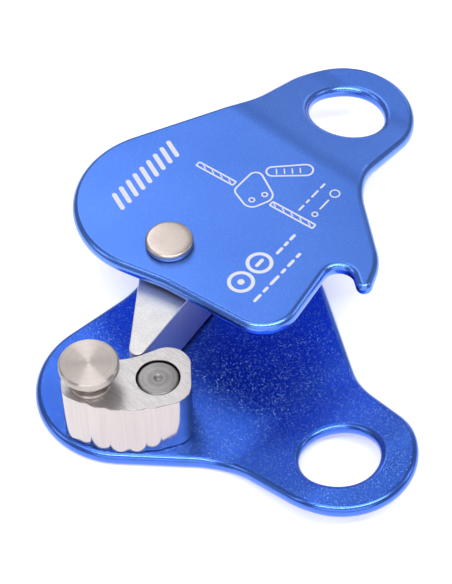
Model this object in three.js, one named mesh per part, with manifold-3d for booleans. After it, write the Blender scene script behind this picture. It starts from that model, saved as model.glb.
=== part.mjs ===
import * as THREE from "three";
import { mergeVertices } from "three/addons/utils/BufferGeometryUtils.js";
import Module from "manifold-3d";

// A swing-plate rope grab. Millimetres, +Z up. The origin is on the axis of the main rivet, level with
// the flat underside of the bottom plate. Outlines are drawn as seen from above with the device closed.

// ---- cheek plates ----
const plateThickness = 3.5;
const plateGap = 16.3;
const eyeX = 35.5;
const eyeY = -47.8;
const eyeLobeRadius = 16.8;
const eyeHoleX = 35.2; // the connector hole sits a little off the middle of its lobe
const eyeHoleY = -48.7;
const eyeHoleRadius = 8.75;
const openAngle = 99.5; // degrees from the closed device to the swing plate's rest pose
const jogStart = 42.5; // distance from the rivet, towards the eye, where each plate leaves its flat
const jogEnd = 66;
const jogHeight = 6;
const jogBlend = 3; // half the length of the bend at either end of the slope

// ---- main rivet stack ----
const rivetShankRadius = 3;
const rivetHeadRadius = 5.4;
const rivetHeadHeight = 1.9;
const rivetHeadRound = 0.8;
const rivetHeadUnderCut = 0.2;
const rivetFootRadius = 4.8;
const footDepth = 1.5; // all lower heads sit in the bottom plate this deep, flush with its underside
const sleeveOuterRadius = 3.8;
const sleeveInnerRadius = 3.25;
const washerRadius = 6.2;
const lowerWasherThickness = 0.7;
const upperWasherThickness = 0.9;

// ---- jaw, block and their steel ----
const blockHeight = 15;
const hubOffset = 2;
const hubRadius = 8.4;
const jawTipX = -7.7;
const jawTipY = -25.5;
const jawTipRadius = 1.8;
const pinX = -3.3;
const pinY = -33.9;
const pinRadius = 4.6;
const pinRecess = 0.15; // below the block's top face
const rimChamfer = 0.5;
const studX = -17.9;
const studY = -34.6;
const studHeadRadius = 6.6;
const studHeadHeight = 2.2;
const studUnderChamfer = 0.4;
const studCollarRadius = 4.65;
const studCollarHeight = 0.85;
const studNeckRadius = 3.1;
const notchRadius = 3.4;
const tailRadius = 2.8;
const tailHeadRadius = 4.2;
const fluteDepth = 0.4;
const fluteStep = 0.26; // longest chord on the block's outline
const fluteCount = 5;
const flutePitch = 10.8; // degrees between grooves round the belly of the block
const fluteMiddle = -94; // degrees, direction of the middle groove from the belly's centre
const bellyX = -8.9;
const bellyY = -19.6;
const bellyRadius = 23.2;

// ---- spring ----
const wireRadius = 0.45;
const coilRadius = 4.7;
const coilTurns = 3.5;
const coilPitch = 1.1;
const springPocketRadius = 5.5;
const springPocketHeight = 4.9;
const springSteps = 60;
const wireSides = 3; // divisions of each quarter turn of the wire's section

// ---- fits and fineness ----
const seatGap = 0.15; // between faces that rest on each other
const boreGap = 0.25; // round a shaft in its bore
const headGap = 0.3; // over and under the swing plate
const arcStep = 0.9; // longest chord on an outline
const arcTurn = THREE.MathUtils.degToRad(9); // largest turn between two chords
const roundSides = 48;

// ---- levels worked out from the sizes above ----
const innerFace = plateThickness;
const upperPlateBottom = innerFace + plateGap;
const upperPlateTop = upperPlateBottom + plateThickness;
const blockBottom = innerFace + seatGap;
const blockTop = blockBottom + blockHeight;
const jawBottom = innerFace + lowerWasherThickness + 2 * seatGap;
const upperWasherBottom = upperPlateBottom - upperWasherThickness - seatGap;
const studHeadBottom = upperPlateTop + headGap;
const eyeDirection = Math.atan2(eyeY, eyeX);

const wasm = await Module();
wasm.setup();

/** Turn a closed geometry into a solid that can be joined and cut. */
function solidOf(geometry) {
  geometry.deleteAttribute("normal");
  geometry.deleteAttribute("uv");
  const welded = mergeVertices(geometry, 1e-4);
  const vertProperties = new Float32Array(welded.attributes.position.array);
  const triVerts = new Uint32Array(welded.index.array);
  return new wasm.Manifold(new wasm.Mesh({ numProp: 3, vertProperties, triVerts }));
}

/** Turn a solid back into a geometry. */
function geometryOf(solid) {
  const mesh = solid.getMesh();
  const geometry = new THREE.BufferGeometry();
  geometry.setAttribute("position", new THREE.BufferAttribute(mesh.vertProperties, 3));
  geometry.setIndex(new THREE.BufferAttribute(mesh.triVerts, 1));
  return geometry;
}

/**
 * Outline of a belt laid round circles [x, y, radius], anticlockwise. A circle with a negative radius
 * hollows the outline instead of filling it. Straight stretches join the arcs as tangents.
 */
function beltOutline(circles, step = arcStep) {
  const count = circles.length;
  const headings = circles.map(([x, y, radius], index) => {
    const [nextX, nextY, nextRadius] = circles[(index + 1) % count];
    const distance = Math.hypot(nextX - x, nextY - y);
    return Math.atan2(nextY - y, nextX - x) - Math.asin((nextRadius - radius) / distance);
  });
  const points = [];
  circles.forEach(([x, y, radius], index) => {
    const start = headings[(index + count - 1) % count];
    const turn = THREE.MathUtils.euclideanModulo(headings[index] - start, 2 * Math.PI);
    const sweep = radius < 0 ? turn - 2 * Math.PI : turn;
    const chords = Math.ceil(Math.max(Math.abs(sweep * radius) / step, Math.abs(sweep) / arcTurn));
    for (let chord = 0; chord <= chords; chord += 1) {
      const heading = start + (sweep * chord) / chords;
      points.push(new THREE.Vector2(x + radius * Math.sin(heading), y - radius * Math.cos(heading)));
    }
  });
  return points;
}

/** Straight-sided solid of an outline between two levels. */
function prism(outline, bottom, top) {
  const shape = new THREE.Shape(outline);
  const geometry = new THREE.ExtrudeGeometry(shape, { depth: top - bottom, bevelEnabled: false });
  return solidOf(geometry.translate(0, 0, bottom));
}

/** Turned solid from [radius, level] pairs that start and end on its axis, which stands at x, y. */
function turned(profile, x, y) {
  const points = profile.map(([radius, level]) => new THREE.Vector2(radius, level));
  const geometry = new THREE.LatheGeometry(points, roundSides);
  return solidOf(geometry.rotateX(Math.PI / 2).translate(x, y, 0));
}

/** Plain cylinder between two levels. */
function disc(radius, bottom, top, x = 0, y = 0) {
  return turned([[0, bottom], [radius, bottom], [radius, top], [0, top]], x, y);
}

/** Flat ring between two levels. */
function ring(outer, inner, bottom, top) {
  return disc(outer, bottom, top).subtract(disc(inner, bottom - 1, top + 1));
}

/** Height that a plate has climbed at a distance from the rivet, measured towards the eye. */
function jogAt(distance) {
  const slope = jogHeight / (jogEnd - jogStart);
  const rise = (from) => {
    const past = THREE.MathUtils.clamp(distance - from + jogBlend, 0, 2 * jogBlend);
    return (past * past) / (4 * jogBlend) + Math.max(distance - from - jogBlend, 0);
  };
  return slope * (rise(jogStart) - rise(jogEnd));
}

/** Sheet of plate thickness, flat round the rivet and jogged up (side 1) or down (side -1) at the eye. */
function joggedSheet(bottom, side) {
  const reach = 100;
  const stations = [-reach];
  const bendStations = [-1, -0.5, 0, 0.5, 1];
  [jogStart, jogEnd].forEach((middle) => {
    bendStations.forEach((part) => stations.push(middle + part * jogBlend));
  });
  stations.push(reach);
  const lower = stations.map((at) => new THREE.Vector2(at, bottom + side * jogAt(at)));
  const upper = lower.map((point) => new THREE.Vector2(point.x, point.y + plateThickness)).reverse();
  const section = new THREE.Shape([...lower, ...upper]);
  const geometry = new THREE.ExtrudeGeometry(section, { depth: 2 * reach, bevelEnabled: false });
  const along = new THREE.Vector3(Math.cos(eyeDirection), Math.sin(eyeDirection), 0);
  const up = new THREE.Vector3(0, 0, 1);
  const across = new THREE.Vector3().crossVectors(along, up);
  const frame = new THREE.Matrix4().makeBasis(along, up, across);
  frame.setPosition(across.clone().multiplyScalar(-reach));
  return solidOf(geometry.applyMatrix4(frame));
}

// Circles that both plates share: eye lobe, inner waist, rivet lobe and the hollow edge beside the rivet.
const eyeToEdge = [
  [eyeX, eyeY, eyeLobeRadius],
  [63, -17, -23.5],
  [13.4, -2.4, 22],
  [-26, 18, -21.5],
];
const outerWaist = [2, -64, -18.6];

/** Plate on the table side, with its lobe round the block and the seats of the three lower heads. */
function bottomPlate() {
  const outline = beltOutline([...eyeToEdge, [-11, -23.5, 20.3], outerWaist]);
  let plate = prism(outline, -1, upperPlateBottom).intersect(joggedSheet(0, 1));
  plate = plate.subtract(disc(eyeHoleRadius, -1, upperPlateTop, eyeHoleX, eyeHoleY));
  const seats = [
    [0, 0, rivetShankRadius, rivetFootRadius],
    [pinX, pinY, tailRadius, tailHeadRadius],
    [studX, studY, tailRadius, tailHeadRadius],
  ];
  seats.forEach(([x, y, shank, head]) => {
    plate = plate.subtract(disc(shank + boreGap, -1, innerFace + 1, x, y));
    plate = plate.subtract(disc(head + boreGap, -1, footDepth + seatGap, x, y));
  });
  return geometryOf(plate);
}

/** Plate that swings on the rivet, with the hook that closes round the stud. */
function topPlate() {
  const hook = [
    [-19.5, -17.2, 8.6],
    [studX, studY, -notchRadius],
    [-19.8, studY - notchRadius - 1.9, 1.9],
    [-11, -31, 14],
  ];
  const outline = beltOutline([...eyeToEdge, ...hook, outerWaist]);
  const sheet = joggedSheet(upperPlateBottom, -1);
  const eye = disc(eyeHoleRadius, 0, upperPlateTop + 1, eyeHoleX, eyeHoleY);
  const pivot = disc(rivetShankRadius + boreGap, 0, upperPlateTop + 1);
  const plate = prism(outline, innerFace, upperPlateTop + 1).intersect(sheet);
  return geometryOf(plate.subtract(eye).subtract(pivot));
}

/** Steel rivet: flush foot, shank and a rounded head on top. */
function mainRivet() {
  const headBottom = upperPlateTop + seatGap;
  const headTop = headBottom + rivetHeadHeight;
  const profile = [
    [0, 0],
    [rivetFootRadius, 0],
    [rivetFootRadius, footDepth],
    [rivetShankRadius, footDepth],
    [rivetShankRadius, headBottom],
    [rivetHeadRadius - rivetHeadUnderCut, headBottom],
    [rivetHeadRadius, headBottom + rivetHeadUnderCut],
  ];
  for (let step = 0; step <= 4; step += 1) {
    const angle = (step / 4) * (Math.PI / 2);
    const radius = rivetHeadRadius - rivetHeadRound * (1 - Math.cos(angle));
    profile.push([radius, headTop - rivetHeadRound * (1 - Math.sin(angle))]);
  }
  profile.push([0, headTop]);
  return geometryOf(turned(profile, 0, 0));
}

/** Tapered jaw, open round the sleeve, with a pocket for the spring in its underside. */
function pinchJaw() {
  const outline = beltOutline([[hubOffset, 0, hubRadius], [jawTipX, jawTipY, jawTipRadius]]);
  const bore = disc(sleeveOuterRadius + boreGap, 0, upperPlateBottom);
  const pocket = disc(springPocketRadius, 0, jawBottom + springPocketHeight);
  return geometryOf(prism(outline, jawBottom, blockTop).subtract(bore).subtract(pocket));
}

/** Draw a point of the belly in towards its centre, to leave convex lobes between sharp grooves. */
function fluted(point) {
  const belly = new THREE.Vector2(bellyX, bellyY);
  const spoke = point.clone().sub(belly);
  if (Math.abs(spoke.length() - bellyRadius) > seatGap) return point;
  const outermost = (fluteCount - 1) / 2;
  const place = (THREE.MathUtils.radToDeg(Math.atan2(spoke.y, spoke.x)) - fluteMiddle) / flutePitch;
  const nearest = THREE.MathUtils.clamp(Math.round(place), -outermost, outermost);
  const share = Math.max(1 - 2 * Math.abs(place - nearest), 0);
  return belly.add(spoke.setLength(spoke.length() - fluteDepth * share ** 2));
}

/** Comma-shaped block: hollow towards the jaw, grooved round its outer belly. */
function anvilBlock() {
  const circles = [
    [-1.3, -30.7, 5.2],
    [-12.2, -14.4, -14],
    [-18.2, -33.8, 6.2],
    [-20.9, -35.5, 3.4],
    [bellyX, bellyY, bellyRadius],
    [-1.3, -36.2, 5.2],
  ];
  let block = prism(beltOutline(circles, fluteStep).map(fluted), blockBottom, blockTop);
  block = block.subtract(disc(pinRadius + boreGap, 0, upperPlateTop, pinX, pinY));
  block = block.subtract(disc(studNeckRadius + boreGap, 0, upperPlateTop, studX, studY));
  return geometryOf(block);
}

/** Steel pin that holds the block's round end, a shade below its top face. */
function blockPin() {
  const top = blockTop - pinRecess;
  const profile = [
    [0, 0],
    [tailHeadRadius, 0],
    [tailHeadRadius, footDepth],
    [tailRadius, footDepth],
    [tailRadius, innerFace + seatGap],
    [pinRadius, innerFace + seatGap],
    [pinRadius, top - rimChamfer],
    [pinRadius - rimChamfer, top],
    [0, top],
  ];
  return geometryOf(turned(profile, pinX, pinY));
}

/** Mushroom-headed stud: foot, shank through the block, collar on the block, neck and head. */
function catchStud() {
  const collarBottom = blockTop + seatGap / 2;
  const headTop = studHeadBottom + studHeadHeight;
  const profile = [
    [0, 0],
    [tailHeadRadius, 0],
    [tailHeadRadius, footDepth],
    [tailRadius, footDepth],
    [tailRadius, innerFace + seatGap],
    [studNeckRadius, innerFace + seatGap],
    [studNeckRadius, collarBottom],
    [studCollarRadius, collarBottom],
    [studCollarRadius, collarBottom + studCollarHeight],
    [studNeckRadius, collarBottom + studCollarHeight],
    [studNeckRadius, studHeadBottom],
    [studHeadRadius - studUnderChamfer, studHeadBottom],
    [studHeadRadius, studHeadBottom + studUnderChamfer],
    [studHeadRadius, headTop - rimChamfer],
    [studHeadRadius - rimChamfer, headTop],
    [0, headTop],
  ];
  return geometryOf(turned(profile, studX, studY));
}

/** Torsion spring wound round the sleeve, inside the jaw's pocket. */
function jawSpring() {
  const base = jawBottom + wireRadius + seatGap;
  class Coil extends THREE.Curve {
    getPoint(t, target = new THREE.Vector3()) {
      const angle = 2 * Math.PI * coilTurns * t;
      const level = base + coilPitch * coilTurns * t;
      return target.set(coilRadius * Math.cos(angle), coilRadius * Math.sin(angle), level);
    }
  }
  const wire = new THREE.Shape();
  wire.absarc(0, 0, wireRadius, 0, 2 * Math.PI, false);
  const geometry = new THREE.ExtrudeGeometry(wire, {
    steps: springSteps,
    curveSegments: wireSides,
    bevelEnabled: false,
    extrudePath: new Coil(),
  });
  return geometryOf(solidOf(geometry));
}

const finishes = {
  azure: { color: 0x4b82ee, roughness: 0.38, metalness: 0.75 },
  royal: { color: 0x2346b8, roughness: 0.38, metalness: 0.75 },
  aluminium: { color: 0xc9cacc, roughness: 0.35, metalness: 1 },
  stainless: { color: 0xb7b0a6, roughness: 0.3, metalness: 1 },
  darkSteel: { color: 0x77777a, roughness: 0.4, metalness: 1 },
  bronze: { color: 0xa98a5a, roughness: 0.45, metalness: 1 },
};

const ropeGrab = new THREE.Group();

/** Add one named piece to a group. */
function place(name, geometry, finish, group = ropeGrab) {
  const mesh = new THREE.Mesh(geometry, new THREE.MeshStandardMaterial(finishes[finish]));
  mesh.name = name;
  group.add(mesh);
}

place("bottom_plate", bottomPlate(), "royal");
place("main_rivet", mainRivet(), "stainless");
const sleeveTop = upperPlateBottom - seatGap;
const sleeve = ring(sleeveOuterRadius, sleeveInnerRadius, innerFace + seatGap, sleeveTop);
place("spacer_sleeve", geometryOf(sleeve), "darkSteel");
const washerBore = sleeveOuterRadius + boreGap;
const lowerWasherBottom = innerFace + seatGap;
const lowerWasherTop = lowerWasherBottom + lowerWasherThickness;
const lowerWasher = ring(washerRadius, washerBore, lowerWasherBottom, lowerWasherTop);
place("lower_thrust_washer", geometryOf(lowerWasher), "bronze");
const upperWasher = ring(washerRadius, washerBore, upperWasherBottom, upperPlateBottom - seatGap);
place("upper_thrust_washer", geometryOf(upperWasher), "bronze");
place("pinch_jaw", pinchJaw(), "aluminium");
place("jaw_spring", jawSpring(), "darkSteel");
place("anvil_block", anvilBlock(), "aluminium");
place("block_pin", blockPin(), "darkSteel");
place("catch_stud", catchStud(), "stainless");

const swing = new THREE.Group();
swing.rotation.z = THREE.MathUtils.degToRad(openAngle);
place("top_plate", topPlate(), "azure", swing);
ropeGrab.add(swing);

export default ropeGrab;
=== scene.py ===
"""Looks of a swing-plate rope grab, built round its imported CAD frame. +Z up, sizes in mm."""

from __future__ import annotations

import logging
import math
from collections.abc import Callable, Sequence
from dataclasses import dataclass
from enum import Enum

import bmesh
import bpy
from mathutils import Matrix, Vector


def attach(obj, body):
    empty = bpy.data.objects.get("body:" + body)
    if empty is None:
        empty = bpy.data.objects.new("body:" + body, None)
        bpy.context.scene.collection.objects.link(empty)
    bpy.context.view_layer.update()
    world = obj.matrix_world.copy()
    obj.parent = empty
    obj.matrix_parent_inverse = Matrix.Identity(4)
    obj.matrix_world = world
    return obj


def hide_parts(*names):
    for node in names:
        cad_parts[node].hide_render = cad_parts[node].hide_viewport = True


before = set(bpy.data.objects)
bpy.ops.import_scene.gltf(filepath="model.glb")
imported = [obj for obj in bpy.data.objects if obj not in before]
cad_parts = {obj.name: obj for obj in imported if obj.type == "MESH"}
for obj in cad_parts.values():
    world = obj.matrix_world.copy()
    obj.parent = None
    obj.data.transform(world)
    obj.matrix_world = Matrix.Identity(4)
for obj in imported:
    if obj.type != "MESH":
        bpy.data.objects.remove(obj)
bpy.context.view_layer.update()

MM = 0.001
LOG = logging.getLogger("rope_grab")

Colour = tuple[float, float, float]
Point = tuple[float, float]
Circle = tuple[float, float, float]
EdgeTest = Callable[[bmesh.types.BMEdge], bool]


class Slot(Enum):
    """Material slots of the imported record."""

    LIGHT_BLUE = "light_blue_anodising"
    DEEP_BLUE = "deep_blue_anodising"
    SATIN_STAINLESS = "satin_stainless"
    TURNED_STAINLESS = "turned_stainless"
    DARK_STEEL = "dark_steel"
    SPRING_WIRE = "spring_wire"
    TUMBLED = "tumbled_aluminium"
    GROUND = "ground_aluminium"
    BRONZE = "bearing_bronze"


class Body(Enum):
    """Moving bodies of the CAD frame."""

    FRAME = "frame"
    SWING_PLATE = "swing_plate"
    JAW = "jaw"


# ---------------------------------------------------------------- shader graphs


class Wire:
    """A shader socket that can be added, multiplied and so on in plain expressions."""

    def __init__(self, graph: Graph, socket: bpy.types.NodeSocket | None) -> None:
        """Wrap one output socket of a graph, or none for an end node."""
        self.graph = graph
        self.socket = socket

    def math(self, operation: str, *others: Wire | float) -> Wire:
        """Apply one Math operation to this value.

        Args:
            operation: Name of the Math node's operation.
            others: Second and third values, as wires or numbers.

        Returns:
            The wire that carries the result.
        """
        values = dict(enumerate((self, *others)))
        return self.graph.add("ShaderNodeMath", {"operation": operation}, values)

    def __add__(self, other: Wire | float) -> Wire:
        """Sum."""
        return self.math("ADD", other)

    __radd__ = __add__

    def __sub__(self, other: Wire | float) -> Wire:
        """Difference."""
        return self.math("SUBTRACT", other)

    def __rsub__(self, other: float) -> Wire:
        """Number minus wire."""
        return self.math("MULTIPLY", -1.0).math("ADD", other)

    def __mul__(self, other: Wire | float) -> Wire:
        """Product."""
        return self.math("MULTIPLY", other)

    __rmul__ = __mul__

    def sibling(self, output: str) -> Wire:
        """Another output of the same node."""
        return Wire(self.graph, self.socket.node.outputs[output])

    def over(self, low: float, high: float) -> Wire:
        """Share of the way from low to high, held between 0 and 1.

        Args:
            low: Value that gives 0.
            high: Value that gives 1.

        Returns:
            The clamped share.
        """
        settings = {"clamp": True}
        values = {"Value": self, "From Min": low, "From Max": high}
        return self.graph.add("ShaderNodeMapRange", settings, values)


class Graph:
    """The node tree of one material."""

    def __init__(self, name: str) -> None:
        """Make an empty material with that name."""
        self.material = bpy.data.materials.new(name)
        self.material.use_nodes = True
        self.tree = self.material.node_tree
        self.tree.nodes.clear()

    def add(
        self,
        kind: str,
        settings: dict[str, object] | None = None,
        values: dict[str | int, object] | None = None,
        output: str | int = 0,
    ) -> Wire:
        """Add one node.

        Args:
            kind: Node type.
            settings: Attributes of the node, set before the sockets.
            values: Socket values or wires, by socket name or place.
            output: Which output the returned wire carries.

        Returns:
            A wire on that output.
        """
        node = self.tree.nodes.new(kind)
        for key, value in (settings or {}).items():
            setattr(node, key, value)
        for key, value in (values or {}).items():
            if isinstance(value, Wire):
                self.tree.links.new(value.socket, node.inputs[key])
            else:
                node.inputs[key].default_value = value
        return Wire(self, node.outputs[output] if node.outputs else None)

    def place(self, centre: Sequence[float] = (0, 0, 0), turn: float = 0.0) -> Wire:
        """Object coordinates in millimetres.

        Args:
            centre: Point in millimetres that becomes the origin.
            turn: Turn about Z in radians, applied about that point.

        Returns:
            The coordinates as a vector wire.
        """
        coordinates = self.add("ShaderNodeTexCoord", output="Object")
        scaled = self.vector("SCALE", coordinates, Scale=1 / MM)
        moved = self.vector("SUBTRACT", scaled, tuple(centre))
        if not turn:
            return moved
        settings = {"vector_type": "POINT"}
        return self.add("ShaderNodeMapping", settings, {0: moved, "Rotation": (0, 0, -turn)})

    def vector(self, operation: str, *inputs: object, **named: object) -> Wire:
        """Apply one Vector Math operation to a vector.

        Args:
            operation: Name of the node's operation.
            inputs: Its vectors, in order.
            named: Its other sockets.

        Returns:
            The wire that carries the vector.
        """
        values = {**dict(enumerate(inputs)), **named}
        return self.add("ShaderNodeVectorMath", {"operation": operation}, values)

    def stretch(self, vector: Wire, scale: Sequence[float]) -> Wire:
        """Multiply a vector by three numbers."""
        return self.vector("MULTIPLY", vector, tuple(scale))

    def noise(self, vector: Wire, scale: float, detail: float = 2.0, rough: float = 0.5) -> Wire:
        """Noise between 0 and 1.

        Args:
            vector: Coordinates.
            scale: Features to the unit of the coordinates.
            detail: Octaves.
            rough: Share of each finer octave.

        Returns:
            The noise value.
        """
        values = {"Vector": vector, "Scale": scale, "Detail": detail, "Roughness": rough}
        return self.add("ShaderNodeTexNoise", None, values)

    def specks(self, vector: Wire, scale: float, share: float, reach: float) -> Wire:
        """Small round dots in some of the cells of a random pattern.

        Args:
            vector: Coordinates.
            scale: Cells to the unit of the coordinates.
            share: Share of the cells that have a dot.
            reach: Radius of a dot in cells.

        Returns:
            1 at the middle of a dot, 0 outside.
        """
        values = {"Vector": vector, "Scale": scale}
        colour = self.add("ShaderNodeTexVoronoi", None, values, output="Color")
        pick = self.add("ShaderNodeSeparateXYZ", None, {0: colour})
        dot = colour.sibling("Distance").over(reach, reach * 0.4)
        return dot * pick.over(1 - share, 1 - share * 0.6)

    def radius(self, vector: Wire) -> Wire:
        """Distance from the Z axis."""
        return self.vector("LENGTH", self.stretch(vector, (1, 1, 0))).sibling("Value")

    def blend(self, share: Wire | float, first: Colour | Wire, second: Colour | Wire) -> Wire:
        """Mix two colours.

        Args:
            share: 0 gives the first colour, 1 the second.
            first: First colour.
            second: Second colour.

        Returns:
            The mixed colour.
        """
        values: dict[str | int, object] = {0: share}
        for place, colour in ((6, first), (7, second)):
            values[place] = colour if isinstance(colour, Wire) else (*colour, 1.0)
        return self.add("ShaderNodeMix", {"data_type": "RGBA"}, values, output=2)

    def bump(self, height: Wire, depth: float) -> Wire:
        """Turn a height between 0 and 1, where 1 is depth in millimetres, into a normal."""
        values = {"Height": height, "Distance": depth * MM, "Strength": 1.0}
        return self.add("ShaderNodeBump", None, values)

    def finish(self, **sockets: object) -> bpy.types.Material:
        """End the graph in a Principled shader.

        Args:
            sockets: Values or wires by socket name, with _ for each space.

        Returns:
            The finished material.
        """
        values = {name.replace("_", " "): value for name, value in sockets.items()}
        shader = self.add("ShaderNodeBsdfPrincipled", None, values)
        self.add("ShaderNodeOutputMaterial", None, {"Surface": shader})
        return self.material


# ---------------------------------------------------------------- finishes


@dataclass(frozen=True)
class SatinAnodising:
    """Bead-blasted aluminium under clear dyed anodising, with bright specks."""

    name: str
    colour: Colour
    deep: Colour
    glint: Colour
    roughness: float
    glitter: float
    texture: float
    speck_size: float = 0.22
    grain_shade: float = 0.82

    def material(self) -> bpy.types.Material:
        """Build the material."""
        graph = Graph(self.name)
        at = graph.place()
        cloud = graph.noise(at, 0.05, 3.0)
        grain = graph.noise(at, 2 / self.speck_size, 2.0, 0.6)
        speck = graph.specks(at, 1 / self.speck_size, 0.3, 0.5)
        glint = speck * graph.noise(at, 0.12, 2.0).over(0.1, 0.5)
        body = graph.blend(cloud.over(0.3, 0.7), self.colour, self.deep)
        dark = tuple(self.grain_shade * part for part in self.colour)
        grained = graph.blend(grain.over(0.3, 0.75) * 0.4, body, dark)
        colour = graph.blend(glint * self.glitter, grained, self.glint)
        rough = self.roughness + (grain - 0.5) * 0.12 + (cloud - 0.5) * 0.05
        height = grain * 0.4 + speck * 0.6
        return graph.finish(
            Base_Color=colour,
            Metallic=1.0,
            Roughness=rough,
            Normal=graph.bump(height, self.texture),
        )


@dataclass(frozen=True)
class PolishedAnodising:
    """Tumbled rim under the same dye: smooth and glossy, in blues darker than the faces as painted
    shade, mixed in random rubbed patches.
    """

    name: str
    colour: Colour
    rub_and_painted_shade: Colour
    roughness: float
    coat: float = 0.6
    coat_roughness: float = 0.18
    depth: float = 0.02

    def material(self) -> bpy.types.Material:
        """Build the material."""
        graph = Graph(self.name)
        at = graph.place()
        rub = graph.noise(at, 0.35, 4.0, 0.6)
        grain = graph.noise(at, 5.0, 2.0)
        share = rub.over(0.45, 0.75) * 0.6 + grain.over(0.4, 0.7) * 0.2
        return graph.finish(
            # painted shade: the rim's blues are darker than the faces', mixed in random rubbed
            # patches
            Base_Color=graph.blend(share, self.colour, self.rub_and_painted_shade),
            Metallic=1.0,
            Roughness=self.roughness + (rub - 0.5) * 0.12,
            Coat_Weight=self.coat,
            Coat_Roughness=self.coat_roughness,
            Normal=graph.bump(rub * 0.7 + grain * 0.3, self.depth),
        )


@dataclass(frozen=True)
class TurnedMetal:
    """Metal faced on a lathe, with fine rings about its own axis."""

    name: str
    colour: Colour
    shade: Colour
    roughness: float
    centre: Point
    ring_pitch: float
    ring_depth: float
    drawn: float = 0.5

    def material(self) -> bpy.types.Material:
        """Build the material."""
        graph = Graph(self.name)
        at = graph.place((*self.centre, 0))
        radius = graph.radius(at)
        wander = graph.noise(at, 0.4, 2.0)
        fine = (radius * (2 * math.pi / self.ring_pitch) + wander * 0.6).math("SINE")
        step = graph.add("ShaderNodeCombineXYZ", None, {0: radius})
        band = graph.noise(step, 1.7 / self.ring_pitch * 0.2, 3.0, 0.7)
        stain = graph.noise(at, 0.35, 4.0, 0.6)
        scuff = graph.noise(at, 9.0, 3.0, 0.7)
        share = band.over(0.3, 0.7) * 0.55 + stain.over(0.35, 0.7) * 0.3
        height = fine * 0.25 + band * 0.75
        return graph.finish(
            Base_Color=graph.blend(share, self.colour, self.shade),
            Metallic=1.0,
            Roughness=self.roughness + (scuff - 0.5) * 0.14 + (band - 0.5) * 0.1,
            Anisotropic=self.drawn,
            Anisotropic_Rotation=0.25,
            Normal=graph.bump(height, self.ring_depth),
        )


@dataclass(frozen=True)
class BlastedMetal:
    """Metal with a fine, even, slightly stained satin surface."""

    name: str
    colour: Colour
    shade: Colour
    roughness: float
    grain: float = 0.16
    depth: float = 0.01

    def material(self) -> bpy.types.Material:
        """Build the material."""
        graph = Graph(self.name)
        at = graph.place()
        grain = graph.noise(at, 1 / self.grain, 3.0, 0.6)
        stain = graph.noise(at, 0.3, 4.0, 0.6)
        share = grain.over(0.3, 0.7) * 0.6 + stain.over(0.35, 0.7) * 0.25
        return graph.finish(
            Base_Color=graph.blend(share, self.colour, self.shade),
            Metallic=1.0,
            Roughness=self.roughness + (grain - 0.5) * 0.2,
            Normal=graph.bump(grain, self.depth),
        )


@dataclass(frozen=True)
class GroundMetal:
    """Metal drawn over an abrasive, with long fine scratches in one direction."""

    name: str
    colour: Colour
    shade: Colour
    roughness: float
    direction: float
    depth: float

    def material(self) -> bpy.types.Material:
        """Build the material."""
        graph = Graph(self.name)
        at = graph.place(turn=math.radians(self.direction))
        scratch = graph.noise(graph.stretch(at, (0.45, 5.5, 5.5)), 1.0, 4.0, 0.65)
        coarse = graph.noise(graph.stretch(at, (0.16, 2.2, 2.2)), 1.0, 2.0)
        pits = graph.noise(at, 4.0, 2.0)
        share = scratch.over(0.35, 0.7) * 0.7 + pits.over(0.45, 0.7) * 0.3
        return graph.finish(
            Base_Color=graph.blend(share, self.colour, self.shade),
            Metallic=1.0,
            Roughness=self.roughness + (scratch - 0.5) * 0.25,
            Normal=graph.bump(scratch * 0.6 + coarse * 0.4, self.depth),
        )


@dataclass(frozen=True)
class DrawnMetal:
    """Bright extruded wall with faint die lines running up it."""

    name: str
    colour: Colour
    shade: Colour
    roughness: float
    depth: float = 0.006

    def material(self) -> bpy.types.Material:
        """Build the material."""
        graph = Graph(self.name)
        at = graph.place()
        line = graph.noise(graph.stretch(at, (3.0, 3.0, 0.05)), 1.0, 3.0, 0.6)
        smear = graph.noise(graph.stretch(at, (0.5, 0.5, 0.12)), 1.0, 2.0)
        return graph.finish(
            Base_Color=graph.blend(line.over(0.35, 0.75) * 0.6, self.colour, self.shade),
            Metallic=1.0,
            Roughness=self.roughness + (smear - 0.5) * 0.1,
            Normal=graph.bump(line, self.depth),
        )


@dataclass(frozen=True)
class LaserEtch:
    """Dull pale oxide left where a laser has taken the dye out of the anodising."""

    name: str
    colour: Colour
    shade: Colour
    direction: float
    roughness: float = 0.55
    metallic: float = 0.15
    depth: float = 0.006

    def material(self) -> bpy.types.Material:
        """Build the material."""
        graph = Graph(self.name)
        at = graph.place(turn=math.radians(self.direction))
        sweep = graph.noise(graph.stretch(at, (1.0, 9.0, 1.0)), 1.0, 2.0)
        grain = graph.noise(at, 7.0, 2.0)
        share = sweep.over(0.35, 0.7) * 0.5 + grain.over(0.4, 0.7) * 0.4
        return graph.finish(
            Base_Color=graph.blend(share, self.colour, self.shade),
            Metallic=self.metallic,
            Roughness=self.roughness + (grain - 0.5) * 0.2,
            Normal=graph.bump(grain, self.depth),
        )


@dataclass(frozen=True)
class PaleSweep:
    """Matt pale paper under the object."""

    name: str
    colour: Colour
    glow: float
    roughness: float = 0.9
    fibre_shade: float = 0.985

    def material(self) -> bpy.types.Material:
        """Build the material."""
        graph = Graph(self.name)
        fibre = graph.noise(graph.place(), 0.8, 2.0)
        dark = tuple(self.fibre_shade * part for part in self.colour)
        return graph.finish(
            Base_Color=graph.blend(fibre, self.colour, dark),
            Roughness=self.roughness,
            Emission_Color=(1.0, 1.0, 1.0, 1.0),
            Emission_Strength=self.glow,
        )


# ---------------------------------------------------------------- modelling


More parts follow.
